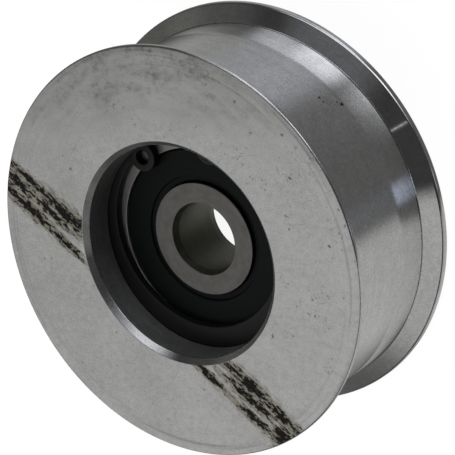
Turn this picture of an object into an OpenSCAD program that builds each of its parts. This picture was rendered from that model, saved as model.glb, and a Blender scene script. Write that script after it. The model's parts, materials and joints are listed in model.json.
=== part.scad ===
// Grooved guide wheel: a turned aluminium wheel with two flanges on a sealed ball bearing.
// The wheel lies on its rear face: +Z is its axis, z = 0 is the rear face, and the recess
// with the retaining ring opens upwards.

/* [Wheel] */
// Outside diameter over the flanges
wheel_d = 71; // [68:0.5:90]
// Width over both flat faces
wheel_w = 26.5; // [25:0.5:34]
// Depth of the groove below the flanges
groove_depth = 3.1; // [1.5:0.1:5]
// Slope of the groove's flanks, away from the flat faces
flank_angle = 30; // [10:1:45]
// Width of the cylindrical land on each flange
land_w = 1.1; // [0.6:0.1:2.4]
// Fillet where each flank meets the groove's floor
root_r = 0.4; // [0.1:0.05:1]
// Rounding between a flange's land and its flank
crest_r = 0.2; // [0.05:0.05:0.3]
// Rounding of the front face's outer edge
front_rim_r = 0.3; // [0.1:0.05:0.4]
// Rounding of the rear face's outer edge
rear_rim_r = 0.2; // [0.1:0.05:0.5]
// Width of the shallow burnished bevel round the front face
bevel_w = 0.9; // [0.4:0.1:2]
// How far that bevel falls
bevel_drop = 0.08; // [0.04:0.02:0.2]

/* [Recess] */
// Depth from the front face to the bearing
recess_depth = 7.6; // [4:0.1:10]
// Chamfer at the mouth of the recess
mouth_chamfer = 0.9; // [0.3:0.1:1.5]
// Diameter of the opening behind the bearing
rear_opening_d = 31; // [28:0.5:34]
// Chamfer at the rear opening
rear_chamfer = 0.8; // [0.2:0.1:1.5]
// Fillet in the corner of the bearing's seat
seat_fillet = 0.4; // [0.1:0.1:0.6]

/* [Bearing] */
// Bore, which the axle goes through
bearing_bore = 12; // [10:0.5:14]
// Outside diameter, which the wheel's seat is turned to
bearing_d = 37; // [36:0.5:42]
// Width of both rings
bearing_w = 12; // [11:0.5:13]
// Ball diameter as a multiple of that width
ball_ratio = 0.6615; // [0.6:0.0005:0.68]
// Track radius as a multiple of the ball's radius
track_conformity = 1.04; // [1.02:0.01:1.08]
// Play between a ball and each track
ball_play = 0.05; // [0.03:0.01:0.1]
// Height of the shoulders beside each track
shoulder_h = 1.6; // [1.2:0.1:1.8]
// Rounding of the outer ring's outer corners
ring_corner_r = 1; // [0.5:0.1:1.2]
// Rounding at the ends of the bore
bore_corner_r = 0.3; // [0.2:0.1:0.8]
// Small edge break on the ring faces
ring_break = 0.15; // [0.05:0.05:0.3]

/* [Seals] */
// How far the seal's face lies below the ring faces
seal_recess = 0.25; // [0.1:0.05:0.4]
// Thickness of a seal with its steel insert
seal_t = 0.9; // [0.8:0.05:1.05]
// Thickness of the steel insert
insert_t = 0.3; // [0.2:0.05:0.4]
// Radial width of the thin lip beside the inner ring
lip_w = 0.95; // [0.6:0.05:1.5]
// Thickness of that lip
lip_t = 0.45; // [0.35:0.05:0.6]
// Running gap between the lip and the inner ring
lip_gap = 0.1; // [0.05:0.01:0.2]
// Radial depth of the step that the seal fits, beyond the shoulder
seal_step = 1.1; // [0.8:0.05:1.3]
// Height of the bead that snaps into the outer ring
bead_h = 0.2; // [0.1:0.05:0.4]
// Open gap round the seal's face
seal_gap = 0.25; // [0.1:0.05:0.4]

/* [Cage] */
// Sheet thickness of the pressed cage
cage_t = 0.5; // [0.3:0.05:0.6]
// Radial width of the cage
cage_w = 3.2; // [2.4:0.1:3.8]
// Play between a ball and its pocket
pocket_play = 0.1; // [0.05:0.01:0.15]
// Rivet shank diameter
rivet_d = 1; // [0.8:0.1:1.2]
// Rivet head diameter
rivet_head_d = 1.9; // [1.5:0.1:2.2]
// Rivet head height
rivet_head_h = 0.4; // [0.3:0.05:0.6]

/* [Retaining ring] */
// Thickness of the ring
clip_t = 1.5; // [1:0.1:2]
// Width of the groove it springs into
clip_groove_w = 1.6; // [1.6:0.1:2.4]
// Depth of that groove below the seat
clip_groove_depth = 1; // [0.6:0.1:1.5]
// Radial width of the ring opposite its gap
clip_back_w = 4.5; // [3.4:0.1:4.8]
// Radial width of the ring beside its lugs
clip_end_w = 1.9; // [1.6:0.1:2.6]
// Radial height of the lugs
lug_h = 5.2; // [4.6:0.1:5.6]
// Width of a lug
lug_w = 5; // [3.8:0.1:5]
// Plier hole in each lug
lug_hole_d = 2.5; // [1.6:0.1:2.6]
// Clear gap between the two lugs, as an angle
clip_gap_angle = 32; // [16:1:36]
// Direction in which the gap points, from +X towards +Y
clip_gap_dir = 107.7; // [0:0.1:359.9]

/* [Hidden] */
$fn = 128;

// one node for each ball, so their number is fixed
ball_count = 6;
ball_pitch_angle = 360 / ball_count;
// how far a cutting or filling shape runs past the surface it works on
past = 1;
// the same for the small slivers that round an edge
sliver = 0.05;

// radii and levels of the wheel
wheel_r = wheel_d / 2;
floor_r = wheel_r - groove_depth;
flank_run = groove_depth * tan(flank_angle);
flank_foot = land_w + flank_run;

// the bearing lies between the shoulder of its seat and the retaining ring
bearing_top = wheel_w - recess_depth;
bearing_bottom = bearing_top - bearing_w;
bearing_mid = bearing_top - bearing_w / 2;
seat_r = bearing_d / 2;
bore_r = bearing_bore / 2;
rear_opening_r = rear_opening_d / 2;

// rings and balls
ball_r = bearing_w * ball_ratio / 2;
pitch_r = (seat_r + bore_r) / 2;
track_r = ball_r * track_conformity;
inner_track_r = pitch_r - ball_r - ball_play;
outer_track_r = pitch_r + ball_r + ball_play;
inner_shoulder_r = inner_track_r + shoulder_h;
outer_shoulder_r = outer_track_r - shoulder_h;

// seals, in heights above or below the bearing's middle
half_w = bearing_w / 2;
seal_out = half_w - seal_recess;
seal_in = seal_out - seal_t;
step_r = outer_shoulder_r + seal_step;
bead_r = step_r + bead_h;
seal_face_r = step_r - seal_gap;
bead_top = (seal_in + seal_out) / 2;
lip_r = inner_shoulder_r + lip_gap;
lip_end_r = lip_r + lip_w;
insert_out_r = seal_face_r - insert_t;
insert_rim_h = insert_t;

// cage
pocket_r = ball_r + pocket_play;
pocket_out_r = pocket_r + cage_t;

// retaining ring
clip_groove_r = seat_r + clip_groove_depth;
clip_bottom = bearing_top;
clip_in_r = clip_groove_r - (clip_back_w + clip_end_w) / 2;
clip_offset = (clip_back_w - clip_end_w) / 2;
lug_mid_r = clip_groove_r - lug_h + lug_w / 2;
lug_half_angle = asin(lug_w / 2 / lug_mid_r);
lug_angle = clip_gap_angle / 2 + lug_half_angle;

function along(angle, length) = length * [cos(angle), sin(angle)];

// The sliver between a corner at p and an arc of radius r that touches both of its edges.
// The edges leave the corner at the angles a and b. It is cut off an outer corner to round
// it, or added to an inner corner to fill it.
module corner_sliver(p, a, b, r) {
    half = (b - a) / 2;
    middle = a + half;
    touch = r / tan(half);
    centre = p + along(middle, r / sin(half));
    difference() {
        polygon([
            p - along(middle, sliver), p + along(a, touch), centre, p + along(b, touch)
        ]);
        translate(centre) circle(r);
    }
}

// Half section of the wheel, with x as the radius and y as the height.
module wheel_section() {
    difference() {
        union() {
            polygon([
                [rear_opening_r + rear_chamfer, 0],
                [wheel_r, 0],
                [wheel_r, land_w],
                [floor_r, flank_foot],
                [floor_r, wheel_w - flank_foot],
                [wheel_r, wheel_w - land_w],
                [wheel_r, wheel_w - bevel_drop],
                [wheel_r - front_rim_r, wheel_w - bevel_drop],
                [wheel_r - front_rim_r - bevel_w, wheel_w],
                [seat_r + mouth_chamfer, wheel_w],
                [seat_r, wheel_w - mouth_chamfer],
                [seat_r, bearing_bottom],
                [rear_opening_r, bearing_bottom],
                [rear_opening_r, rear_chamfer]
            ]);
            corner_sliver([floor_r, flank_foot], 360 - flank_angle, 450, root_r);
            corner_sliver([floor_r, wheel_w - flank_foot], -90, flank_angle, root_r);
            corner_sliver([seat_r, bearing_bottom], 90, 180, seat_fillet);
        }
        corner_sliver([wheel_r, 0], 90, 180, rear_rim_r);
        corner_sliver([wheel_r, wheel_w - bevel_drop], 180, 270, front_rim_r);
        corner_sliver([wheel_r, land_w], 180 - flank_angle, 270, crest_r);
        corner_sliver([wheel_r, wheel_w - land_w], 90, 180 + flank_angle, crest_r);
        translate([seat_r - past, clip_bottom]) square([clip_groove_depth + past, clip_groove_w]);
    }
}

module wheel_body() {
    color("silver") rotate_extrude() wheel_section();
}

// One lug of the retaining ring, standing inwards from the ring's outer edge.
module lug_shape() {
    intersection() {
        circle(clip_groove_r);
        union() {
            translate([lug_mid_r, 0]) circle(lug_w / 2);
            translate([lug_mid_r, -lug_w / 2]) square([lug_h, lug_w]);
        }
    }
}

module clip_outline() {
    difference() {
        union() {
            difference() {
                circle(clip_groove_r);
                translate([clip_offset, 0]) circle(clip_in_r);
                polygon([
                    [0, 0],
                    along(-lug_angle, 2 * wheel_r),
                    [2 * wheel_r, 0],
                    along(lug_angle, 2 * wheel_r)
                ]);
            }
            for (side = [-1, 1]) rotate(side * lug_angle) lug_shape();
        }
        for (side = [-1, 1]) rotate(side * lug_angle) translate([lug_mid_r, 0]) circle(d = lug_hole_d);
    }
}

module retaining_ring() {
    color("#1b1c1c")
        translate([0, 0, clip_bottom]) rotate(clip_gap_dir) linear_extrude(clip_t) clip_outline();
}

// Half section of the outer ring, about the bearing's middle.
module outer_ring_section() {
    difference() {
        translate([outer_shoulder_r, -half_w])
            square([seat_r - outer_shoulder_r, bearing_w]);
        translate([outer_track_r - track_r, 0]) circle(track_r);
        for (side = [0, 1]) mirror([0, side]) {
            translate([outer_shoulder_r - past, seal_in])
                square([seal_step + past, half_w - seal_in + past]);
            translate([outer_shoulder_r - past, seal_in])
                square([seal_step + bead_h + past, bead_top - seal_in]);
            corner_sliver([seat_r, half_w], 180, 270, ring_corner_r);
            corner_sliver([step_r, half_w], 270, 360, ring_break);
        }
    }
}

module bearing_outer_ring() {
    color("#8d8c88") translate([0, 0, bearing_mid]) rotate_extrude() outer_ring_section();
}

// Half section of the inner ring, about the bearing's middle.
module inner_ring_section() {
    difference() {
        translate([bore_r, -half_w]) square([inner_shoulder_r - bore_r, bearing_w]);
        translate([inner_track_r + track_r, 0]) circle(track_r);
        for (side = [0, 1]) mirror([0, side]) {
            corner_sliver([bore_r, half_w], 270, 360, bore_corner_r);
            corner_sliver([inner_shoulder_r, half_w], 180, 270, ring_break);
        }
    }
}

module bearing_inner_ring() {
    color("#6b6864") translate([0, 0, bearing_mid]) rotate_extrude() inner_ring_section();
}

// Half section of a seal's rubber, with its lip on the left and its bead on the right.
module seal_section() {
    difference() {
        polygon([
            [lip_r, seal_in],
            [bead_r, seal_in],
            [bead_r, bead_top],
            [seal_face_r, bead_top],
            [seal_face_r, seal_out],
            [lip_end_r, seal_out],
            [lip_end_r, seal_in + lip_t],
            [lip_r, seal_in + lip_t]
        ]);
        insert_section();
    }
}

// Half section of the steel insert: a flat ring with a short turned-up rim.
module insert_section() {
    polygon([
        [lip_end_r, seal_in],
        [insert_out_r, seal_in],
        [insert_out_r, seal_in + insert_t + insert_rim_h],
        [insert_out_r - insert_t, seal_in + insert_t + insert_rim_h],
        [insert_out_r - insert_t, seal_in + insert_t],
        [lip_end_r, seal_in + insert_t]
    ]);
}

// Turns a seal's section round the axis, on the front or the rear side of the bearing.
module on_side(front) {
    translate([0, 0, bearing_mid]) mirror([0, 0, front ? 0 : 1]) rotate_extrude() children();
}

module front_seal() {
    color("#151616") on_side(true) seal_section();
}

module front_seal_insert() {
    color("#9a9b9c") on_side(true) insert_section();
}

module rear_seal() {
    color("#151616") on_side(false) seal_section();
}

module rear_seal_insert() {
    color("#9a9b9c") on_side(false) insert_section();
}

// Half of the riveted ribbon cage: flat webs with a round pocket over each ball.
module cage_half() {
    difference() {
        intersection() {
            difference() {
                cylinder(r = pitch_r + cage_w / 2, h = pocket_out_r + past);
                translate([0, 0, -past])
                    cylinder(r = pitch_r - cage_w / 2, h = pocket_out_r + 3 * past);
            }
            union() {
                cylinder(r = pitch_r + cage_w, h = cage_t);
                for (n = [1 : ball_count]) at_ball(n) sphere(pocket_out_r);
            }
        }
        for (n = [1 : ball_count]) {
            at_ball(n) sphere(pocket_r);
            at_rivet(n) translate([0, 0, -past]) cylinder(d = rivet_d, h = cage_t + 2 * past);
        }
    }
}

module at_ball(n) {
    rotate((n - 1) * ball_pitch_angle) translate([pitch_r, 0, 0]) children();
}

module at_rivet(n) {
    rotate((n - 0.5) * ball_pitch_angle) translate([pitch_r, 0, 0]) children();
}

module cage_front_half() {
    color("#b0a88c") translate([0, 0, bearing_mid]) cage_half();
}

module cage_rear_half() {
    color("#b0a88c") translate([0, 0, bearing_mid]) mirror([0, 0, 1]) cage_half();
}

// A rivet closes both halves: a shank through the webs with a domed head on each side.
module rivet() {
    dome_r = (pow(rivet_head_d / 2, 2) + pow(rivet_head_h, 2)) / (2 * rivet_head_h);
    cylinder(d = rivet_d, h = 2 * cage_t, center = true);
    for (side = [0, 1]) mirror([0, 0, side]) intersection() {
        translate([0, 0, cage_t + rivet_head_h - dome_r]) sphere(dome_r);
        translate([0, 0, cage_t]) cylinder(d = rivet_head_d + past, h = rivet_head_h + past);
    }
}

module cage_rivets() {
    color("#c9c6bd") translate([0, 0, bearing_mid])
        for (n = [1 : ball_count]) at_rivet(n) rivet();
}

module ball(n) {
    color("#d5d6d8") translate([0, 0, bearing_mid]) at_ball(n) sphere(ball_r);
}

wheel_body();
retaining_ring();
bearing_outer_ring();
bearing_inner_ring();
front_seal();
front_seal_insert();
rear_seal();
rear_seal_insert();
cage_front_half();
cage_rear_half();
cage_rivets();
ball(1);  // ball_1
ball(2);  // ball_2
ball(3);  // ball_3
ball(4);  // ball_4
ball(5);  // ball_5
ball(6);  // ball_6
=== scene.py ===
import json
import math

import bmesh
import bpy
from mathutils import Matrix, Vector


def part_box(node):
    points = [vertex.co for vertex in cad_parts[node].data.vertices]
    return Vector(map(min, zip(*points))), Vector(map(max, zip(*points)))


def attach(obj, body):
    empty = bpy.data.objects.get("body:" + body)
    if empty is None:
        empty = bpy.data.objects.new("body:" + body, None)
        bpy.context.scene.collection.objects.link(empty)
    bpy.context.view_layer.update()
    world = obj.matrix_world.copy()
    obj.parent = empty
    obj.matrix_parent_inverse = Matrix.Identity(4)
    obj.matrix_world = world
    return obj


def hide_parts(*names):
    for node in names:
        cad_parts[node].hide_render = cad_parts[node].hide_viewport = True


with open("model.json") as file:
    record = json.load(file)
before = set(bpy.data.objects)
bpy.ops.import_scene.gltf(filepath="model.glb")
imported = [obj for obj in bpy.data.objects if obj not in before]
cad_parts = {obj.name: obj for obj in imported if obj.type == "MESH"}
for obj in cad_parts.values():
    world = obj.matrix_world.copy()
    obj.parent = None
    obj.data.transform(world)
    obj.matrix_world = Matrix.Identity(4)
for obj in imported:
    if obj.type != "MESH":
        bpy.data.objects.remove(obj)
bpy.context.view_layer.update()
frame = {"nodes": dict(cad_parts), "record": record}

mm = 0.001


def nodeSize(node):
    low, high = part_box(node)
    return {"radius": high.x / mm, "bottom": low.z / mm, "top": high.z / mm}


def hexColor(code):
    # sRGB hex to the linear values that the shaders use
    parts = [int(code[i:i + 2], 16) / 255 for i in (1, 3, 5)]
    return [p / 12.92 if p <= 0.04045 else ((p + 0.055) / 1.055) ** 2.4 for p in parts] + [1.0]


def addNode(tree, kind, inputs=None, **settings):
    # a node given as an input is linked by its first output
    node = tree.nodes.new("ShaderNode" + kind)
    for name, value in settings.items():
        setattr(node, name, value)
    for key, value in (inputs or {}).items():
        if isinstance(value, bpy.types.Node):
            value = value.outputs[0]
        if isinstance(value, bpy.types.NodeSocket):
            tree.links.new(value, node.inputs[key])
        else:
            node.inputs[key].default_value = value
    return node


def newPiece(name, bm, materials, body, nodes):
    mesh = bpy.data.meshes.new(name)
    for face in bm.faces:
        face.smooth = True
    bm.to_mesh(mesh)
    bm.free()
    piece = bpy.data.objects.new(name, mesh)
    bpy.context.scene.collection.objects.link(piece)
    for material in materials:
        mesh.materials.append(material)
    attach(piece, body)
    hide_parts(*nodes)
    return piece


def turnOnLathe(corners, steps=360, segments=4):
    # corners go round the section as radius, height and how far the corner is eased, in mm
    bm = bmesh.new()
    points = [bm.verts.new((r * mm, 0, z * mm)) for r, z, ease in corners]
    for a, b in zip(points, points[1:] + points[:1]):
        bm.edges.new((a, b))
    for point, (r, z, ease) in zip(points, corners):
        if ease:
            bmesh.ops.bevel(bm, geom=[point], offset=ease * mm, offset_type="OFFSET",
                            segments=segments, profile=0.5, affect="VERTICES", material=-1)
    # a loop close to each end of a flat keeps its shading flat
    shortest, inset = 0.5 * mm, 0.05 * mm
    for edge in [e for e in bm.edges if e.calc_length() > shortest]:
        start, end = edge.verts
        share = inset / edge.calc_length()
        point = bmesh.utils.edge_split(edge, start, share)[1]
        rest = next(e for e in point.link_edges if end in e.verts)
        bmesh.utils.edge_split(rest, end, share)
    bmesh.ops.spin(bm, geom=bm.verts[:] + bm.edges[:], cent=(0, 0, 0), axis=(0, 0, 1),
                   dvec=(0, 0, 0), angle=math.tau, steps=steps, use_merge=True)
    bmesh.ops.recalc_face_normals(bm, faces=bm.faces)
    return bm


# sizes come from the frame, in mm
wheel = nodeSize("wheel_body")
outer = nodeSize("bearing_outer_ring")
inner = nodeSize("bearing_inner_ring")
seal = nodeSize("front_seal")
clip = nodeSize("retaining_ring")
axleBore = next(m for m in frame["record"]["mounts"] if m["name"] == "axle_bore")
boreRadius = axleBore["dims"]["r_mm"]
bearingMid = (outer["top"] + outer["bottom"]) / 2


def startMaterial(name, metallic):
    material = bpy.data.materials.new(name)
    material.use_nodes = True
    tree = material.node_tree
    tree.nodes.clear()
    shader = addNode(tree, "BsdfPrincipled", {"Metallic": metallic})
    addNode(tree, "OutputMaterial", {"Surface": shader})
    return material, tree, shader


def pointInMm(tree):
    place = addNode(tree, "TexCoord").outputs["Object"]
    return addNode(tree, "VectorMath", {0: place, "Scale": 1 / mm}, operation="SCALE")


def fromAxle(tree, point):
    # the point's direction from the axle, with its length
    flat = addNode(tree, "VectorMath", {0: point, 1: (1, 1, 0)}, operation="MULTIPLY")
    return flat, addNode(tree, "VectorMath", {0: flat}, operation="LENGTH").outputs["Value"]


def weightedSum(tree, parts, start=0.0):
    # every pattern times its weight, added to the start
    total = start
    for pattern, weight in parts:
        total = addNode(tree, "Math", {0: pattern, 1: weight, 2: total}, operation="MULTIPLY_ADD")
    return total


def nearestOf(tree, distances):
    nearest = distances[0]
    for distance in distances[1:]:
        nearest = addNode(tree, "Math", {0: nearest, 1: distance}, operation="MINIMUM")
    return nearest


def turningPattern(tree, point, spacing, turn, detail=3.0):
    # quick change across the tool marks, slow change round the wheel; on a face square to the
    # axle the marks are four times as far apart
    faceShare = 0.25
    flat, radius = fromAxle(tree, point)
    height = addNode(tree, "SeparateXYZ", {0: point}).outputs[2]
    across = weightedSum(tree, [(radius, faceShare)], height)
    across = addNode(tree, "Math", {0: across, 1: 1 / spacing}, operation="MULTIPLY")
    lift = addNode(tree, "CombineXYZ", {2: across})
    facing = addNode(tree, "VectorMath", {0: flat}, operation="NORMALIZE")
    spot = addNode(tree, "VectorMath", {0: facing, 1: (turn, turn, turn), 2: lift},
                   operation="MULTIPLY_ADD")
    return addNode(tree, "TexNoise", {"Vector": spot, "Scale": 1.0, "Detail": detail, "Roughness": 0.6})


# most values of a noise lie in the first range, and nearly all of them in the second
noiseSpread = (0.3, 0.7)
fullSpread = (0.25, 0.75)


def dressShader(tree, shader, tone, toneRange, colors, noise, roughness, relief=None, depth=0.0):
    # the tone blends two colours, the noise sets the roughness, the relief is a bump in mm
    tone = addNode(tree, "MapRange", {"Value": tone, "From Min": toneRange[0], "From Max": toneRange[1]})
    color = addNode(tree, "Mix", {"Factor": tone, 6: hexColor(colors[0]), 7: hexColor(colors[1])},
                    data_type="RGBA").outputs[2]
    tree.links.new(color, shader.inputs["Base Color"])
    rough = addNode(tree, "MapRange", {"Value": noise, "From Min": noiseSpread[0],
                                       "From Max": noiseSpread[1], "To Min": roughness[0],
                                       "To Max": roughness[1]})
    tree.links.new(rough.outputs[0], shader.inputs["Roughness"])
    if relief is not None:
        bump = addNode(tree, "Bump", {"Height": relief, "Distance": depth * mm, "Strength": 1.0})
        tree.links.new(bump.outputs[0], shader.inputs["Normal"])


turned = {
    "color": "#a3a3a2",
    "dull": "#8e8e8d",
    "roughness": (0.165, 0.19),
    "anisotropic": 1.0,
    # the rear flank is smoother and drawn out less, and the recess mouth is a little rougher
    "flankAnisotropic": 0.6,
    "flankRoughness": -0.1,
    "flankBlend": 0.1,
    "mouthRoughness": 0.02,
    "mouthWidth": 3.0,
    # the groove sweeps up a little towards the rear flank: its width, how soon it turns up,
    # the slope that it turns to and what is added by the flank
    "sweepWidth": 6.3,
    "sweepTurn": 1.0,
    "sweepSlopes": (0.2, 0.14),
    "sweepRoughness": 0.04,
    "lineSpacing": 0.3,  # coarser than the real feed, so that it shows
    "lineDepth": 0.0004,
    "bandSpacing": 2.2,
    "grain": 0.32,
    # what the lines, bands, grain and clouds add to the wear, and where it sets in and is full,
    # as in every pair that is called a range
    "wear": (0.5, 0.2, 1.4, 1.0),
    "wornRange": (1.25, 1.85),
    # small knocks on the running groove: degrees round from +Y, height and size in mm
    "knocks": [
        (34.0, 12.2, 0.3), (35.8, 12.3, 0.2), (38.8, 9.0, 0.36), (37.7, 9.6, 0.2), (99.0, 2.2, 0.2),
    ],
    # the distance in sizes, with this much noise added, runs from where a knock fades to its end
    "knockRagged": 2.4,
    "knockFade": (1.8, 2.3),
    "knockColor": "#262624",
}


def makeTurnedAluminium():
    # aluminium turned with a fine feed and left bare: lines run round the wheel, and the
    # reflection is sharp along them and drawn out across them
    t = turned
    material, tree, shader = startMaterial("turnedAluminium", 1.0)
    # the highlight spreads across the tool marks, which run round the axle
    shader.inputs["Anisotropic Rotation"].default_value = 0.25
    tangent = addNode(tree, "Tangent", direction_type="RADIAL", axis="Z")
    tree.links.new(tangent.outputs[0], shader.inputs["Tangent"])
    point = pointInMm(tree)
    lines = turningPattern(tree, point, t["lineSpacing"], 2.5)
    bands = turningPattern(tree, point, t["bandSpacing"], 0.8, 1.0)
    cloud = addNode(tree, "TexNoise", {"Vector": point, "Scale": 0.7, "Detail": 5.0, "Roughness": 0.7})
    grain = addNode(tree, "TexNoise", {"Vector": point, "Scale": 1 / t["grain"], "Detail": 2.0,
                                       "Roughness": 0.7})
    worn = weightedSum(tree, zip((lines, bands, grain, cloud), t["wear"]))
    worn = addNode(tree, "MapRange", {"Value": worn, "From Min": t["wornRange"][0],
                                      "From Max": t["wornRange"][1]})
    # knocks are ragged spots round their places
    floor = wheelForm["grooveFloor"]
    distances = []
    for angle, height, size in t["knocks"]:
        a = math.radians(angle)
        place = (floor * math.sin(a), floor * math.cos(a), height)
        far = addNode(tree, "VectorMath", {0: point, 1: place}, operation="DISTANCE").outputs["Value"]
        distances.append(addNode(tree, "Math", {0: far, 1: size}, operation="DIVIDE"))
    ragged = addNode(tree, "TexNoise", {"Vector": point, "Scale": 2.8, "Detail": 2.0})
    nearest = weightedSum(tree, [(ragged, t["knockRagged"])], nearestOf(tree, distances))
    knock = addNode(tree, "MapRange", {"Value": nearest, "From Min": t["knockFade"][0],
                                       "From Max": t["knockFade"][1], "To Min": 1.0, "To Max": 0.0},
                    interpolation_type="SMOOTHSTEP")
    # sockets 6 and 7 of a Mix node are its colours, and output 2 is their mix
    color = hexColor(t["color"])
    for share, code in ((worn, t["dull"]), (knock, t["knockColor"])):
        color = addNode(tree, "Mix", {"Factor": share, 6: color, 7: hexColor(code)},
                        data_type="RGBA").outputs[2]
    tree.links.new(color, shader.inputs["Base Color"])
    # the flank, the sweep beside it and the recess mouth have a finish of their own
    foot, blend = flankFoot(), t["flankBlend"]
    height = addNode(tree, "SeparateXYZ", {0: point}).outputs[2]
    flank = addNode(tree, "MapRange", {"Value": height, "From Min": foot + blend,
                                       "From Max": foot - blend})
    sweep = addNode(tree, "MapRange", {"Value": height, "From Min": foot + t["sweepWidth"],
                                       "From Max": foot})
    sweep = addNode(tree, "Math", {0: sweep, 1: flank}, operation="SUBTRACT", use_clamp=True)
    radius = fromAxle(tree, point)[1]
    mouth = addNode(tree, "Math", {0: radius, 1: outer["radius"] + t["mouthWidth"]}, operation="LESS_THAN")
    low, high = t["roughness"]
    rough = addNode(tree, "MapRange", {"Value": lines, "From Min": fullSpread[0],
                                       "From Max": fullSpread[1], "To Min": low, "To Max": high})
    rough = weightedSum(tree, [(sweep, t["sweepRoughness"]), (mouth, t["mouthRoughness"]),
                               (flank, t["flankRoughness"])], rough)
    tree.links.new(rough.outputs[0], shader.inputs["Roughness"])
    onFlank = addNode(tree, "Math", {0: flank, 1: mouth}, operation="SUBTRACT", use_clamp=True)
    drawn = addNode(tree, "MapRange", {"Value": onFlank, "To Min": t["anisotropic"],
                                       "To Max": t["flankAnisotropic"]})
    tree.links.new(drawn.outputs[0], shader.inputs["Anisotropic"])
    # the height in mm: the sweep turns up over a short arc, runs on and steepens, and the feed
    # lines lie on it
    first, added = t["sweepSlopes"]
    along = addNode(tree, "Math", {0: sweep, 1: t["sweepWidth"]}, operation="MULTIPLY")
    arc = addNode(tree, "Math", {0: along, 1: t["sweepTurn"]}, operation="MINIMUM")
    lag = addNode(tree, "Math", {0: arc, 1: 0.5 / t["sweepTurn"], 2: -1}, operation="MULTIPLY_ADD")
    rise = addNode(tree, "Math", {0: lag, 1: arc, 2: along}, operation="MULTIPLY_ADD")
    steeper = addNode(tree, "Math", {0: sweep, 1: along}, operation="MULTIPLY")
    steeper = addNode(tree, "Math", {0: steeper, 1: added / 2}, operation="MULTIPLY")
    rise = weightedSum(tree, [(rise, first)], steeper)
    rise = weightedSum(tree, [(lines, t["lineDepth"])], rise)
    bump = addNode(tree, "Bump", {"Height": rise, "Distance": mm, "Strength": 1.0})
    tree.links.new(bump.outputs[0], shader.inputs["Normal"])
    return material


faced = {
    "dull": "#949493",
    "pale": "#aeaead",
    "roughness": (0.36, 0.46),
    # sizes in mm of the grain, the mottling and the clouds, what each adds to the tone, where
    # the tone leaves the dull colour and reaches the pale one, and the painted light that a mm
    # towards +X adds, which paints the face lighter towards that side
    "grain": 0.26,
    "mottle": 1.1,
    "cloud": 9.0,
    "toneWeights": (2.6, 1.3, 1.0),
    "toneRange": (0.65, 1.65),
    "paintedLightTowardX": 0.006,
    # scuffs in the upper half: which way is up for them, where they set in and are full that way
    # and out from the axle in mm, what the mottling, grain and arcs add to them, the share of an
    # even darkening over the whole upper part, and the rings near the rim that go with them
    "scuffColor": "#6f6f6d",
    "scuffUp": (-0.22, 0.975, 0),
    "scuffHeight": (13.0, 30.0),
    "scuffRadius": (21.0, 28.0),
    "scuffWeights": (0.9, 0.8, 1.0),
    "scuffRange": (0.82, 1.3),
    "upperDarkening": 0.2,
    "ringRadius": (30.5, 33.5),
    "ringRange": (0.52, 0.8),
    "ringShare": 0.6,
    # pits: mm from one cell to the next, smallest and largest radius in cells, how far they are
    # out of round in mm, where their edge begins and ends in cells, the side that has more of
    # them, and the lot a cell has to draw to hold one, at two distances that way in mm
    "pit": 1.5,
    "pitGrowth": (0.05, 0.2),
    "pitColor": "#3c3c39",
    "pitShare": 0.8,
    "pitRagged": 0.9,
    "pitEdge": (-0.03, 0.06),
    "pitToward": (0.75, 0.66, 0),
    "pitReach": (8.0, 24.0),
    "pitLots": (0.88, 0.74),
    # specks: what their patches and the same side add to the noise, and where that is a speck
    "speckColor": "#55554f",
    "speckShare": 0.7,
    "speckPatches": 0.55,
    "speckReach": (-10.0, 26.0),
    "speckAdded": 0.07,
    "speckRange": (0.99, 1.1),
    # hair scratches: direction in degrees, and a shift that tells one set from the next, then
    # how quickly the noise changes along and across them
    "scratches": [(62, 3.0), (-24, 8.0), (15, 13.0)],
    "scratchStretch": (0.28, 5.0),
    "scratchRange": (0.7, 0.8),
    "scratchShare": 0.35,
    # old grease on the front face: the way it was rubbed, then its smears by how far they lie
    # along and across that from the axle, half length and half width in mm
    "greaseColor": "#120e0c",
    "greaseEdge": "#69634f",
    "greaseAlong": (0.870, -0.4925),
    "smears": [
        (-20.4, -9.9, 4.8, 1.1), (-28.6, -9.8, 5.2, 0.6), (-30.6, -11.9, 3.4, 0.82),
        (-23.2, -11.8, 4.2, 0.6), (-27.4, -14.3, 5.8, 0.82), (-18.4, -14.6, 4.0, 0.52),
        (-33.4, -13.8, 1.3, 1.4), (22.4, -9.9, 4.6, 0.95), (29.8, -10.2, 3.6, 0.77),
        (23.6, -12.0, 4.4, 0.77), (15.6, -14.4, 3.4, 0.56), (26.2, -14.5, 3.2, 0.6),
        (31.6, -13.2, 1.6, 1.7),
    ],
    # how quickly streaks and crumbs change along and across the rub
    "streakStretch": (0.55, 1.7, 0),
    "crumbStretch": (1.0, 2.2, 0),
    # a start value plus what the streaks and crumbs add, less the distance from the smear, is
    # first a thin film and further in a thick cover
    "filmStart": -0.9,
    "filmStreaks": 6.0,
    "filmRange": (-0.3, 0.9),
    "filmShare": 0.75,
    "coverStart": -3.2,
    "coverStreaks": 5.0,
    "coverCrumbs": 4.2,
    "coverRange": (0.2, 0.6),
    "coverShare": 0.99,
    # the finish of thick grease, what it adds to the roughness and its height in grain depths
    "greaseMetallic": 0.05,
    "greaseSpecular": 0.12,
    "greaseRoughness": 0.25,
    "greaseHeight": 1.5,
    "grainDepth": 0.006,
    "faceDepth": 0.6,  # how far below the wheel's end still counts as the front face
}


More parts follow.
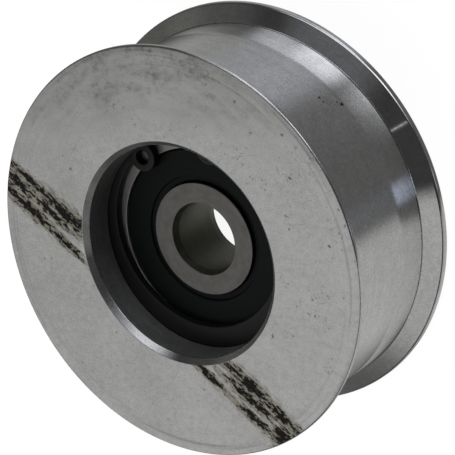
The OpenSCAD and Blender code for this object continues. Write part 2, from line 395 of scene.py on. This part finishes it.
def makeFacedAluminium():
    # aluminium faced off and tumbled: a soft even grey sheen with fine grain, mottling, small
    # pits and handling scuffs, and old grease smeared straight across the front
    f = faced
    material, tree, shader = startMaterial("facedAluminium", 1.0)
    point = pointInMm(tree)
    grain = addNode(tree, "TexNoise", {"Vector": point, "Scale": 1 / f["grain"], "Detail": 2.0,
                                       "Roughness": 0.7})
    mottle = addNode(tree, "TexNoise", {"Vector": point, "Scale": 1 / f["mottle"], "Detail": 4.0,
                                        "Roughness": 0.6})
    cloud = addNode(tree, "TexNoise", {"Vector": point, "Scale": 1 / f["cloud"], "Detail": 3.0})
    # painted light: the tone grows towards +X, so the face is painted lighter on that side
    side = addNode(tree, "VectorMath", {0: point, 1: (f["paintedLightTowardX"], 0, 0)}, operation="DOT_PRODUCT")
    tone = weightedSum(tree, zip((grain, mottle, cloud), f["toneWeights"]), -f["toneWeights"][0] / 2)
    tone = addNode(tree, "Math", {0: tone, 1: side.outputs["Value"]}, operation="ADD")
    shade = addNode(tree, "MapRange", {"Value": tone, "From Min": f["toneRange"][0],
                                       "From Max": f["toneRange"][1]})
    layers = [(shade, f["pale"])]
    # scuffs lie round the wheel in the upper half, with fine rings near the rim
    arcs = turningPattern(tree, point, 0.5, 5.0, 4.0)
    rings = turningPattern(tree, point, 0.16, 1.2, 2.0)
    radius = fromAxle(tree, point)[1]
    upward = addNode(tree, "VectorMath", {0: point, 1: f["scuffUp"]}, operation="DOT_PRODUCT")
    upper = addNode(tree, "MapRange", {"Value": upward.outputs["Value"], "From Min": f["scuffHeight"][0],
                                       "From Max": f["scuffHeight"][1]})
    near = addNode(tree, "MapRange", {"Value": radius, "From Min": f["scuffRadius"][0],
                                      "From Max": f["scuffRadius"][1]})
    upper = addNode(tree, "Math", {0: upper, 1: near}, operation="MULTIPLY")
    broken = weightedSum(tree, zip((mottle, grain, arcs), f["scuffWeights"]), -f["scuffWeights"][0] / 2)
    scuff = addNode(tree, "MapRange", {"Value": broken, "From Min": f["scuffRange"][0],
                                       "From Max": f["scuffRange"][1]})
    scuff = addNode(tree, "Math", {0: scuff, 1: upper}, operation="MULTIPLY")
    # an even darkening in the scuff colour over the whole upper part
    scuff = weightedSum(tree, [(upper, f["upperDarkening"])], scuff)
    rim = addNode(tree, "MapRange", {"Value": radius, "From Min": f["ringRadius"][0],
                                     "From Max": f["ringRadius"][1]})
    ring = addNode(tree, "MapRange", {"Value": rings, "From Min": f["ringRange"][0],
                                      "From Max": f["ringRange"][1], "To Max": f["ringShare"]})
    ring = addNode(tree, "Math", {0: ring, 1: rim}, operation="MULTIPLY")
    scuff = addNode(tree, "Math", {0: scuff, 1: ring}, operation="ADD", use_clamp=True)
    layers.append((scuff, f["scuffColor"]))
    # pits: a few of the cells hold one
    ragged = addNode(tree, "TexNoise", {"Vector": point, "Scale": 2.6, "Detail": 3.0, "Roughness": 0.7})
    ragged = addNode(tree, "VectorMath", {0: ragged.outputs["Color"], 1: [f["pitRagged"]] * 3,
                                          2: point}, operation="MULTIPLY_ADD")
    cells = addNode(tree, "TexVoronoi", {"Vector": ragged, "Scale": 1 / f["pit"], "Randomness": 1.0})
    lot = addNode(tree, "SeparateXYZ", {0: cells.outputs["Color"]})
    toward = addNode(tree, "VectorMath", {0: point, 1: f["pitToward"]}, operation="DOT_PRODUCT")
    toward = toward.outputs["Value"]
    reach = addNode(tree, "MapRange", {"Value": toward, "From Min": f["pitReach"][0],
                                       "From Max": f["pitReach"][1], "To Min": f["pitLots"][0],
                                       "To Max": f["pitLots"][1]})
    size = addNode(tree, "MapRange", {"Value": lot.outputs[0], "From Min": reach, "From Max": 1.0,
                                      "To Min": f["pitGrowth"][0], "To Max": f["pitGrowth"][1]})
    held = addNode(tree, "Math", {0: lot.outputs[0], 1: reach}, operation="GREATER_THAN")
    size = addNode(tree, "Math", {0: size, 1: held}, operation="MULTIPLY")
    gap = addNode(tree, "Math", {0: size, 1: cells.outputs["Distance"]}, operation="SUBTRACT")
    pit = addNode(tree, "MapRange", {"Value": gap, "From Min": f["pitEdge"][0],
                                     "From Max": f["pitEdge"][1], "To Max": f["pitShare"]})
    layers.append((pit, f["pitColor"]))
    # specks: where a fine noise peaks, more of them on the side that the pits favour
    fine = addNode(tree, "TexNoise", {"Vector": point, "Scale": 1.5, "Detail": 2.5, "Roughness": 0.75})
    patch = addNode(tree, "TexNoise", {"Vector": point, "Scale": 0.2, "Detail": 2.0})
    added = addNode(tree, "MapRange", {"Value": toward, "From Min": f["speckReach"][0],
                                       "From Max": f["speckReach"][1], "To Max": f["speckAdded"]})
    speck = weightedSum(tree, [(patch, f["speckPatches"]), (added, 1.0)], fine)
    speck = addNode(tree, "MapRange", {"Value": speck, "From Min": f["speckRange"][0],
                                       "From Max": f["speckRange"][1], "To Max": f["speckShare"]})
    layers.append((speck, f["speckColor"]))
    # hair scratches from handling, in a few directions
    slow, quick = f["scratchStretch"]
    for turn, shift in f["scratches"]:
        a = math.radians(turn)
        ways = [addNode(tree, "VectorMath", {0: point, 1: way}, operation="DOT_PRODUCT").outputs["Value"]
                for way in ((slow * math.cos(a), slow * math.sin(a), 0),
                            (-quick * math.sin(a), quick * math.cos(a), 0))]
        spot = addNode(tree, "CombineXYZ", {0: ways[0], 1: ways[1], 2: shift})
        hair = addNode(tree, "TexNoise", {"Vector": spot, "Scale": 1.0, "Detail": 1.0})
        hair = addNode(tree, "MapRange", {"Value": hair, "From Min": f["scratchRange"][0],
                                          "From Max": f["scratchRange"][1],
                                          "To Max": f["scratchShare"]})
        layers.append((hair, f["speckColor"]))
    # grease: the nearest smear, broken up by streaks along the rub, on the front face only
    ax, ay = f["greaseAlong"]
    along = addNode(tree, "VectorMath", {0: point, 1: (ax, ay, 0)}, operation="DOT_PRODUCT")
    across = addNode(tree, "VectorMath", {0: point, 1: (-ay, ax, 0)}, operation="DOT_PRODUCT")
    rub = addNode(tree, "CombineXYZ", {0: along.outputs["Value"], 1: across.outputs["Value"]})
    distances = []
    for s, t, length, width in f["smears"]:
        far = addNode(tree, "VectorMath", {0: rub, 1: (1 / length, 1 / width, 0),
                                           2: (-s / length, -t / width, 0)}, operation="MULTIPLY_ADD")
        distances.append(addNode(tree, "VectorMath", {0: far}, operation="LENGTH").outputs["Value"])
    nearest = nearestOf(tree, distances)
    drag = addNode(tree, "VectorMath", {0: rub, 1: f["streakStretch"]}, operation="MULTIPLY")
    streaks = addNode(tree, "TexNoise", {"Vector": drag, "Scale": 1.0, "Detail": 6.0, "Roughness": 0.72})
    pulled = addNode(tree, "VectorMath", {0: rub, 1: f["crumbStretch"]}, operation="MULTIPLY")
    crumbs = addNode(tree, "TexNoise", {"Vector": pulled, "Scale": 1.0, "Detail": 3.0, "Roughness": 0.6})
    film = weightedSum(tree, [(streaks, f["filmStreaks"]), (nearest, -1.0)], f["filmStart"])
    cover = weightedSum(tree, [(streaks, f["coverStreaks"]), (crumbs, f["coverCrumbs"]),
                               (nearest, -1.0)], f["coverStart"])
    height = addNode(tree, "SeparateXYZ", {0: point}).outputs[2]
    front = addNode(tree, "Math", {0: height, 1: wheel["top"] - f["faceDepth"]}, operation="GREATER_THAN")
    haze = addNode(tree, "MapRange", {"Value": film, "From Min": f["filmRange"][0],
                                      "From Max": f["filmRange"][1], "To Max": f["filmShare"]})
    haze = addNode(tree, "Math", {0: haze, 1: front}, operation="MULTIPLY")
    thick = addNode(tree, "MapRange", {"Value": cover, "From Min": f["coverRange"][0],
                                       "From Max": f["coverRange"][1], "To Max": f["coverShare"]})
    thick = addNode(tree, "Math", {0: thick, 1: front}, operation="MULTIPLY")
    layers += [(haze, f["greaseEdge"]), (thick, f["greaseColor"])]
    # every layer goes over the ones before it
    color = hexColor(f["dull"])
    for share, code in layers:
        color = addNode(tree, "Mix", {"Factor": share, 6: color, 7: hexColor(code)},
                        data_type="RGBA").outputs[2]
    tree.links.new(color, shader.inputs["Base Color"])
    # thick grease hides the metal: rougher, raised and with a faint shine of its own
    bare = addNode(tree, "MapRange", {"Value": thick, "To Min": 1.0, "To Max": f["greaseMetallic"]})
    tree.links.new(bare.outputs[0], shader.inputs["Metallic"])
    shine = addNode(tree, "MapRange", {"Value": thick, "To Min": 0.5, "To Max": f["greaseSpecular"]})
    tree.links.new(shine.outputs[0], shader.inputs["Specular IOR Level"])
    low, high = f["roughness"]
    rough = addNode(tree, "MapRange", {"Value": grain, "From Min": fullSpread[0],
                                       "From Max": fullSpread[1], "To Min": low, "To Max": high})
    rough = weightedSum(tree, [(thick, f["greaseRoughness"])], rough)
    tree.links.new(rough.outputs[0], shader.inputs["Roughness"])
    relief = weightedSum(tree, [(thick, f["greaseHeight"]), (pit, -1.0)], grain)
    bump = addNode(tree, "Bump", {"Height": relief, "Distance": f["grainDepth"] * mm, "Strength": 1.0})
    tree.links.new(bump.outputs[0], shader.inputs["Normal"])
    return material


bored = {
    "dull": "#7a7a78",
    "color": "#9a9a98",
    "roughness": (0.46, 0.6),
    "lineSpacing": 0.35,
    "lineDepth": 0.004,
}


def makeBoredAluminium():
    # aluminium bored with a coarser feed and dulled by oxide: dark grey with a soft shine
    b = bored
    material, tree, shader = startMaterial("boredAluminium", 1.0)
    point = pointInMm(tree)
    lines = turningPattern(tree, point, b["lineSpacing"], 3.0)
    cloud = addNode(tree, "TexNoise", {"Vector": point, "Scale": 1.3, "Detail": 4.0, "Roughness": 0.65})
    tone = addNode(tree, "Math", {0: lines, 1: cloud}, operation="ADD")
    dressShader(tree, shader, tone, (0.7, 1.3), (b["dull"], b["color"]), cloud, b["roughness"],
                lines, b["lineDepth"])
    return material


steel = {
    # ground rings: dull and bright colour, roughness
    "innerRing": ("#4e4d4a", "#5c5b59", (0.3, 0.4)),
    "outerRing": ("#7b7a77", "#8d8c89", (0.5, 0.6)),
    # the inner ring's bore and lead-in cones are a darker, yellower grey than its faces
    "bore": ("#4b4b42", "#5a5a50", (0.5, 0.6)),
    "lineSpacing": 0.22,
    "lineDepth": 0.002,
    # hidden parts: dull and bright colour, mean roughness
    "sheet": ("#7b7c7d", "#8f9092", 0.3),
    "rivet": ("#7b7c7d", "#9a9b9b", 0.35),
    "ball": ("#8f9092", "#c9cacc", 0.07),
    "uneven": 0.15,
}


def makeGroundSteel(name, dull, color, roughness):
    # hardened bearing steel, ground: a warm grey with faint grinding lines and a low shine
    material, tree, shader = startMaterial(name, 1.0)
    point = pointInMm(tree)
    lines = turningPattern(tree, point, steel["lineSpacing"], 3.0)
    cloud = addNode(tree, "TexNoise", {"Vector": point, "Scale": 0.8, "Detail": 5.0, "Roughness": 0.6})
    tone = addNode(tree, "Math", {0: lines, 1: cloud}, operation="ADD")
    dressShader(tree, shader, tone, (0.75, 1.25), (dull, color), cloud, roughness,
                lines, steel["lineDepth"])
    return material


def makeSheetSteel(name, dull, color, roughness):
    # cold rolled steel, pressed or lapped: a smooth mid grey with a slightly uneven shine
    material, tree, shader = startMaterial(name, 1.0)
    point = pointInMm(tree)
    cloud = addNode(tree, "TexNoise", {"Vector": point, "Scale": 1.6, "Detail": 4.0, "Roughness": 0.6})
    spread = (roughness * (1 + steel["uneven"]), roughness * (1 - steel["uneven"]))
    dressShader(tree, shader, cloud, noiseSpread, (dull, color), cloud, spread)
    return material


springFinish = {
    "color": "#111111",
    "pale": "#1b1a19",
    "roughness": (0.42, 0.58),
    "grain": 0.3,
    "depth": 0.005,
}


def makeSpringSteel():
    # spring steel, phosphated and oiled: nearly black with a fine crystal grain and a dull sheen
    s = springFinish
    material, tree, shader = startMaterial("phosphatedSpringSteel", 0.6)
    point = pointInMm(tree)
    grain = addNode(tree, "TexNoise", {"Vector": point, "Scale": 1 / s["grain"], "Detail": 3.0,
                                       "Roughness": 0.65})
    dressShader(tree, shader, grain, (0.35, 0.7), (s["color"], s["pale"]), grain, s["roughness"],
                grain, s["depth"])
    return material


rubber = {
    "color": "#080a0b",
    "pale": "#101313",
    "specular": 0.08,
    "roughness": (0.42, 0.55),
    "grain": 0.5,
    "depth": 0.003,
}


def makeNitrileRubber():
    # nitrile rubber moulded on a polished tool: smooth, cool black with a broad faint sheen
    r = rubber
    material, tree, shader = startMaterial("mouldedNitrileRubber", 0.0)
    shader.inputs["Specular IOR Level"].default_value = r["specular"]
    point = pointInMm(tree)
    grain = addNode(tree, "TexNoise", {"Vector": point, "Scale": 1 / r["grain"], "Detail": 4.0,
                                       "Roughness": 0.6})
    dressShader(tree, shader, grain, (0.35, 0.7), (r["color"], r["pale"]), grain, r["roughness"],
                grain, r["depth"])
    return material


# the groove's floor and the rear opening are radii
wheelForm = {
    "grooveFloor": 32.4,
    "land": 1.1,
    "flankAngle": 30,
    "rootEase": 0.1,
    "crestEase": 0.3,
    "frontRimEase": 0.3,
    "rearRimEase": 0.2,
    "bevelWidth": 1.2,
    "bevelDrop": 0.105,
    "bevelEase": 0.3,
    "mouthChamfer": 0.9,
    "rearOpening": 15.5,
    "rearChamfer": 0.8,
    "seatEase": 0.4,
    "clipGrooveDepth": 1.0,
    "clipGrooveWidth": 1.6,
    "smallEase": 0.06,
}


def flankFoot():
    # how far the foot of a flank is from the wheel's end
    depth = wheel["radius"] - wheelForm["grooveFloor"]
    return wheelForm["land"] + depth * math.tan(math.radians(wheelForm["flankAngle"]))


def makeWheelBody():
    f = wheelForm
    edge, top, floor, small = wheel["radius"], wheel["top"], f["grooveFloor"], f["smallEase"]
    foot = flankFoot()
    seat = outer["radius"]
    grooveTop = clip["bottom"] + f["clipGrooveWidth"]
    corners = [
        (f["rearOpening"] + f["rearChamfer"], 0, small),
        (edge, 0, f["rearRimEase"]),
        (edge, f["land"], f["crestEase"]),
        (floor, foot, f["rootEase"]),
        (floor, top - foot, f["rootEase"]),
        (edge, top - f["land"], f["crestEase"]),
        (edge, top - f["bevelDrop"], f["frontRimEase"]),
        (edge - f["bevelWidth"], top, f["bevelEase"]),
        (seat + f["mouthChamfer"], top, small),
        (seat, top - f["mouthChamfer"], small),
        (seat, grooveTop, small),
        (seat + f["clipGrooveDepth"], grooveTop, small),
        (seat + f["clipGrooveDepth"], clip["bottom"], small),
        (seat, clip["bottom"], small),
        (seat, outer["bottom"], f["seatEase"]),
        (f["rearOpening"], outer["bottom"], small),
        (f["rearOpening"], f["rearChamfer"], small),
    ]
    bm = turnOnLathe(corners)
    # faced ends, turned outside, bored inside
    facedSlot, turnedSlot, boredSlot = range(3)
    slack = 0.01
    for face in bm.faces:
        middle = face.calc_center_median() / mm
        radius = math.hypot(middle.x, middle.y)
        end = middle.z < slack or middle.z > top - f["bevelDrop"] - slack
        if radius < seat or radius < seat + f["mouthChamfer"] and middle.z < top / 2:
            face.material_index = boredSlot
        elif end and abs(face.normal.z) > 0.9 and radius > seat + f["mouthChamfer"]:
            face.material_index = facedSlot
        else:
            face.material_index = turnedSlot
    return newPiece("turnedWheel", bm, [makeFacedAluminium(), makeTurnedAluminium(),
                                        makeBoredAluminium()],
                    "wheel", ["wheel_body"])


# the tracks and the shoulder are radii from the axle
bearingForm = {
    "innerTrack": 8.231,
    "outerTrack": 16.269,
    "trackRadius": 4.128,
    "outerShoulder": 14.669,
    "sealStep": 1.1,
    "bead": 0.2,
    "outerCornerEase": 1.0,
    "edgeEase": 0.15,
    "stepEase": 0.04,
    "shoulderEase": 0.06,
    # the cone at each end of the bore: width and depth
    "leadIn": (0.3, 1.5),
    "leadEase": 0.1,
}


def trackPoints(middle, radius, shoulder, sign, count=12):
    # points along a ball track's arc, from one shoulder to the other
    reach = math.acos(min(1, abs(shoulder - middle) / radius))
    return [(middle + sign * radius * math.cos(a), bearingMid + radius * math.sin(a), 0)
            for a in [reach * (2 * i / count - 1) for i in range(count + 1)]]


def makeOuterRing(material):
    f = bearingForm
    r, low, high = outer["radius"], outer["bottom"], outer["top"]
    step, small = f["outerShoulder"] + f["sealStep"], f["stepEase"]
    sealIn, beadTop = seal["bottom"], (seal["bottom"] + seal["top"]) / 2
    upper = [(step, high, f["edgeEase"]), (step, beadTop, small), (step + f["bead"], beadTop, small),
             (step + f["bead"], sealIn, small), (f["outerShoulder"], sealIn, f["shoulderEase"])]
    lower = [(x, 2 * bearingMid - z, e) for x, z, e in reversed(upper)]
    track = trackPoints(f["outerTrack"] - f["trackRadius"], f["trackRadius"], f["outerShoulder"], 1)
    corners = ([(r, low, f["outerCornerEase"]), (r, high, f["outerCornerEase"])]
               + upper + track[::-1] + lower)
    return newPiece("bearingOuterRing", turnOnLathe(corners, 256), [material], "wheel",
                    ["bearing_outer_ring"])


def makeInnerRing(face, bore):
    f = bearingForm
    r, low, high = inner["radius"], inner["bottom"], inner["top"]
    track = trackPoints(f["innerTrack"] + f["trackRadius"], f["trackRadius"], r, -1)
    wide, deep = f["leadIn"]
    mouth, ease = boreRadius + wide, f["leadEase"]
    corners = ([(mouth, low, ease), (r, low, f["edgeEase"])] + track
               + [(r, high, f["edgeEase"]), (mouth, high, ease),
                  (boreRadius, high - deep, ease), (boreRadius, low + deep, ease)])
    bm = turnOnLathe(corners, 256)
    for part in bm.faces:
        middle = part.calc_center_median() / mm
        part.material_index = 1 if math.hypot(middle.x, middle.y) < mouth else 0
    return newPiece("bearingInnerRing", bm, [face, bore], "hub",
                    ["bearing_inner_ring"])


sealForm = {
    "lipGap": 0.1,
    "lipWidth": 0.95,
    "lipThickness": 0.45,
    "lipSlope": 0.1,
    "rimGap": 0.45,
    # eases of the back, the rim's step, the face's edge, the slope down to the lip and the lip
    "backEase": 0.05,
    "stepEase": 0.04,
    "faceEase": 0.12,
    "slopeEases": (0.15, 0.08),
    "lipEase": 0.1,
}


def makeSeal(name, side, node, material):
    f = sealForm
    bead = nodeSize(node)["radius"]
    lip = inner["radius"] + f["lipGap"]
    lipEnd = lip + f["lipWidth"]
    face = bead - f["rimGap"]
    back, front = seal["bottom"], seal["top"]
    beadTop, lipTop = (back + front) / 2, back + f["lipThickness"]
    corners = [
        (lip, back, f["backEase"]), (bead, back, f["backEase"]), (bead, beadTop, f["backEase"]),
        (face, beadTop, f["stepEase"]), (face, front, f["faceEase"]),
        (lipEnd + f["lipSlope"], front, f["slopeEases"][0]), (lipEnd, lipTop, f["slopeEases"][1]),
        (lip, lipTop, f["lipEase"]),
    ]
    if side < 0:
        corners = [(r, 2 * bearingMid - z, e) for r, z, e in reversed(corners)]
    return newPiece(name, turnOnLathe(corners, 256), [material], "wheel", [node])


# the angles, in degrees: faces this close to one plane are joined, edges this sharp are eased
clipForm = {"edgeEase": 0.12, "joinedWithin": 0.5, "easedFrom": 40}


def makeRetainingRing():
    f = clipForm
    bm = bmesh.new()
    bm.from_mesh(frame["nodes"]["retaining_ring"].data)
    bmesh.ops.remove_doubles(bm, verts=bm.verts, dist=0.001 * mm)
    bmesh.ops.dissolve_limit(bm, angle_limit=math.radians(f["joinedWithin"]), verts=bm.verts,
                             edges=bm.edges)
    sharp = [e for e in bm.edges if len(e.link_faces) == 2
             and e.calc_face_angle(0) > math.radians(f["easedFrom"])]
    bmesh.ops.bevel(bm, geom=sharp, offset=f["edgeEase"] * mm, offset_type="OFFSET",
                    segments=3, profile=0.5, affect="EDGES", material=-1, clamp_overlap=True)
    bmesh.ops.triangulate(bm, faces=[face for face in bm.faces if len(face.verts) > 4])
    return newPiece("retainingRing", bm, [makeSpringSteel()], "wheel",
                    ["retaining_ring"])


makeWheelBody()
print("wheel body turned")
makeOuterRing(makeGroundSteel("groundOuterRing", *steel["outerRing"]))
makeInnerRing(makeGroundSteel("groundInnerRing", *steel["innerRing"]),
              makeGroundSteel("darkerInnerBore", *steel["bore"]))
nitrile = makeNitrileRubber()
makeSeal("frontSeal", 1, "front_seal", nitrile)
makeSeal("rearSeal", -1, "rear_seal", nitrile)
makeRetainingRing()
print("bearing and retaining ring made")

sheetSteel = makeSheetSteel("coldRolledSheetSteel", *steel["sheet"])
rivetSteel = makeSheetSteel("headedRivetSteel", *steel["rivet"])
ballSteel = makeSheetSteel("lappedBallSteel", *steel["ball"])
finishes = {
    "front_seal_insert": sheetSteel, "rear_seal_insert": sheetSteel,
    "cage_front_half": sheetSteel, "cage_rear_half": sheetSteel, "cage_rivets": rivetSteel,
}
finishes.update({"ball_%d" % n: ballSteel for n in range(1, 7)})
for node, material in finishes.items():
    mesh = frame["nodes"][node].data
    mesh.materials.clear()
    mesh.materials.append(material)
print("hidden bearing parts finished")

# the camera's aim, its direction from there and its distance in mm, and the sun for the flank
view = {
    "aim": (0.896, 0.262, 13.204),
    "back": (0.5237, 0.4008, 0.7517),
    "distance": 485.8,
    "lens": 231.13,
    "sensor": 36,
    "clipRange": (0.01, 50),
    "lampToward": (0.3056, 0.2343, 0.9227),
    "lampStrength": 0.0003,
    "lampAngle": 0.2,
}


def makeCamera():
    back = Vector(view["back"]).normalized()
    right = Vector((0, 1, 0)).cross(back).normalized()
    upward = back.cross(right)
    data = bpy.data.cameras.new("camera")
    camera = bpy.data.objects.new("camera", data)
    bpy.context.scene.collection.objects.link(camera)
    turn = Matrix((right, upward, back)).transposed().to_4x4()
    place = (Vector(view["aim"]) + back * view["distance"]) * mm
    camera.matrix_world = Matrix.Translation(place) @ turn
    data.lens = view["lens"]
    data.sensor_width = view["sensor"]
    data.clip_start, data.clip_end = view["clipRange"]
    bpy.context.scene.camera = camera


def makeFlankLamp():
    # a small weak sun in the rear flank's mirror direction draws a thin bright line along it
    lamp = bpy.data.lights.new("flankLamp", "SUN")
    lamp.energy = view["lampStrength"]
    lamp.angle = math.radians(view["lampAngle"])
    holder = bpy.data.objects.new("flankLamp", lamp)
    bpy.context.scene.collection.objects.link(holder)
    toward = Vector(view["lampToward"])
    holder.matrix_world = toward.to_track_quat("Z", "Y").to_matrix().to_4x4()


# brightness of the room, the pale table and the softbox; a pair says where along an axis of the
# room something sets in and where it is full
studio = {
    "roomFront": 0.10,
    "roomBack": 0.26,
    "roomTurn": (-0.4, 0.3),
    "table": 1.0,
    "tableEdge": (-0.05, -0.2),
    "tableSide": (0.75, 1.0),
    "tableSideLoss": 0.4,
    "tableShade": (0.72, 0.93),
    "tableShadeLoss": 0.88,
    "tableBack": (0.4, -0.5),
    "tableBackLoss": 0.3,
    "softbox": 2.3,
    "softboxColor": "#f6f8ff",
    "softboxRise": (0.1, 0.3),
    # the softbox on the plane overhead: axis, middle, inner and outer half width
    "softboxLong": ((0.894, 0, -0.447), 0.0, 0.5, 0.85),
    "softboxShort": ((0.447, 0, 0.894), 0.5, 0.3, 0.5),
    "floorSize": 8.0,
    "floorGap": 0.2,
    "floorColor": "#f4f4f4",
    "floorGlow": 1.15,
    "floorGlowShare": 0.8,
}
# softer lights round the studio: direction, inner and outer half angle in degrees, strength, colour
softLights = [
    ((-0.22, 0.58, -0.79), 5, 26, 0.42, "#f0f3ff"),
    ((-0.06, 0.65, -0.75), 4, 13, 0.15, "#f0f3ff"),
    ((-0.28, 0.86, -0.42), 5, 19, 1.2, "#f4f6ff"),
    ((-0.66, 0.10, -0.75), 8, 30, 0.44, "#f4f6ee"),
    ((-0.95, 0.05, 0.32), 8, 26, 0.15, "#f6f7ea"),
    ((0.89, 0.13, -0.42), 3, 7, 2.0, "#d4e0ff"),
    ((0.08, 0.957, -0.27), 5, 17, 2.9, "#f4f6ff"),
    ((-0.14, 0.46, 0.88), 6, 21, 0.22, "#f4f6ff"),
    ((-0.76, 0.32, 0.57), 4, 20, 0.1, "#f4f6f4"),
    ((0.62, 0.76, 0.13), 6, 19, 1.6, "#f6f8ff"),
]
# black flags in front of it all: direction, inner and outer half angle, share of the light hidden
flags = [
    ((0.74, -0.54, 0.41), 10, 27, 0.85),
    ((0.82, -0.20, 0.54), 8, 20, 0.9),
    ((0.48, -0.81, 0.33), 8, 22, 0.7),
    ((-0.84, -0.34, -0.42), 20, 38, 1.0),
    ((0.05, -0.99, 0.06), 8, 20, 0.6),
    ((-0.36, -0.55, -0.75), 10, 28, 0.7),
]
smooth = {"interpolation_type": "SMOOTHSTEP"}


def skySpot(tree, direction, toward, innerAngle, outerAngle, around, within):
    # a soft round spot in the world, with one value around it and another within
    aim = addNode(tree, "VectorMath", {0: direction, 1: Vector(toward).normalized()},
                  operation="DOT_PRODUCT").outputs["Value"]
    return addNode(tree, "MapRange", {"Value": aim, "From Min": math.cos(math.radians(outerAngle)),
                                      "From Max": math.cos(math.radians(innerAngle)),
                                      "To Min": around, "To Max": within}, **smooth)


def makeWorld():
    # +Y is up in the view, so the softbox hangs on that side and the pale table is below
    world = bpy.data.worlds.new("studio")
    bpy.context.scene.world = world
    world.use_nodes = True
    tree = world.node_tree
    tree.nodes.clear()
    st = studio
    direction = addNode(tree, "TexCoord").outputs["Generated"]
    split = addNode(tree, "SeparateXYZ", {0: direction})
    x, y, z = (split.outputs[i] for i in range(3))
    room = addNode(tree, "MapRange", {"Value": z, "From Min": st["roomTurn"][0],
                                      "From Max": st["roomTurn"][1], "To Min": st["roomBack"],
                                      "To Max": st["roomFront"]}, **smooth)
    # the table ends at the sides, behind, and in the wheel's own shade
    edge, side, shade, rear = st["tableEdge"], st["tableSide"], st["tableShade"], st["tableBack"]
    table = addNode(tree, "MapRange", {"Value": y, "From Min": edge[1], "From Max": edge[0],
                                       "To Min": st["table"], "To Max": 0.0}, **smooth)
    wide = addNode(tree, "Math", {0: x}, operation="ABSOLUTE")
    wide = addNode(tree, "MapRange", {"Value": wide, "From Min": side[0], "From Max": side[1],
                                      "To Min": 1.0, "To Max": 1 - st["tableSideLoss"]}, **smooth)
    below = addNode(tree, "MapRange", {"Value": y, "From Min": -shade[1], "From Max": -shade[0],
                                       "To Min": 1 - st["tableShadeLoss"], "To Max": 1.0}, **smooth)
    behind = addNode(tree, "MapRange", {"Value": z, "From Min": rear[1], "From Max": rear[0],
                                        "To Min": 1 - st["tableBackLoss"], "To Max": 1.0}, **smooth)
    clear = 1.0
    for toward, innerAngle, outerAngle, loss in flags:
        left = skySpot(tree, direction, toward, innerAngle, outerAngle, 1.0, 1 - loss)
        clear = addNode(tree, "Math", {0: clear, 1: left}, operation="MULTIPLY")
    for share in (wide, below, behind, clear):
        table = addNode(tree, "Math", {0: table, 1: share}, operation="MULTIPLY")
    level = addNode(tree, "Math", {0: room, 1: table}, operation="ADD")
    # the softbox is a rectangle on the plane overhead
    box = addNode(tree, "MapRange", {"Value": y, "From Min": st["softboxRise"][0],
                                     "From Max": st["softboxRise"][1], "To Max": st["softbox"]}, **smooth)
    high = addNode(tree, "Math", {0: y, 1: st["softboxRise"][0] / 2}, operation="MAXIMUM")
    for axis, middle, innerHalf, outerHalf in (st["softboxLong"], st["softboxShort"]):
        off = addNode(tree, "VectorMath", {0: direction, 1: axis}, operation="DOT_PRODUCT")
        off = addNode(tree, "Math", {0: off.outputs["Value"], 1: high}, operation="DIVIDE")
        off = addNode(tree, "Math", {0: off, 1: middle}, operation="SUBTRACT")
        off = addNode(tree, "Math", {0: off}, operation="ABSOLUTE")
        off = addNode(tree, "MapRange", {"Value": off, "From Min": innerHalf, "From Max": outerHalf,
                                         "To Min": 1.0, "To Max": 0.0}, **smooth)
        box = addNode(tree, "Math", {0: box, 1: off}, operation="MULTIPLY")
    lights = [(box, st["softboxColor"])]
    for toward, innerAngle, outerAngle, strength, code in softLights:
        lights.append((skySpot(tree, direction, toward, innerAngle, outerAngle, 0.0, strength), code))
    for glow, code in lights:
        tint = addNode(tree, "VectorMath", {0: hexColor(code)[:3], "Scale": glow}, operation="SCALE")
        level = addNode(tree, "VectorMath", {0: level, 1: tint}, operation="ADD")
    level = addNode(tree, "VectorMath", {0: level, "Scale": clear}, operation="SCALE")
    # the camera sees the white backdrop everywhere, metal sees it where the table stands
    path = addNode(tree, "LightPath")
    mirrored = addNode(tree, "Math", {0: path.outputs["Is Glossy Ray"],
                                      1: path.outputs["Is Transmission Ray"]}, operation="MAXIMUM")
    mirrored = addNode(tree, "Math", {0: mirrored, 1: table}, operation="MULTIPLY")
    white = addNode(tree, "Math", {0: path.outputs["Is Camera Ray"], 1: mirrored}, operation="MAXIMUM")
    light = addNode(tree, "Background", {"Color": level, "Strength": 1.0})
    backdrop = addNode(tree, "Background", {"Color": hexColor("#ffffff"), "Strength": 1.0})
    mix = addNode(tree, "MixShader", {0: white, 1: light, 2: backdrop})
    addNode(tree, "OutputWorld", {"Surface": mix})


def makeFloor():
    bm = bmesh.new()
    bmesh.ops.create_grid(bm, x_segments=1, y_segments=1, size=studio["floorSize"] / 2)
    bmesh.ops.translate(bm, verts=bm.verts, vec=(0, 0, -studio["floorGap"] * mm))
    mesh = bpy.data.meshes.new("floor")
    bm.to_mesh(mesh)
    bm.free()
    floor = bpy.data.objects.new("floor", mesh)
    bpy.context.scene.collection.objects.link(floor)
    # matt pale board that glows enough to match the white backdrop
    material = bpy.data.materials.new("paleFloor")
    material.use_nodes = True
    tree = material.node_tree
    tree.nodes.clear()
    matt = addNode(tree, "BsdfDiffuse", {"Color": hexColor(studio["floorColor"])})
    glow = addNode(tree, "Emission", {"Color": hexColor("#ffffff"), "Strength": studio["floorGlow"]})
    pale = addNode(tree, "MixShader", {0: studio["floorGlowShare"], 1: matt, 2: glow})
    # from underneath the floor is clear, so that the wheel's rear face can be looked at
    under = addNode(tree, "NewGeometry").outputs["Backfacing"]
    mix = addNode(tree, "MixShader", {0: under, 1: pale, 2: addNode(tree, "BsdfTransparent")})
    addNode(tree, "OutputMaterial", {"Surface": mix})
    mesh.materials.append(material)
    # only the camera sees the floor: it takes the shadow and the metal mirrors the studio
    floor.visible_glossy = floor.visible_diffuse = floor.visible_transmission = False
    floor.visible_shadow = False


makeCamera()
makeFlankLamp()
makeWorld()
makeFloor()
bpy.context.scene.view_settings.view_transform = "Standard"
print("studio set")
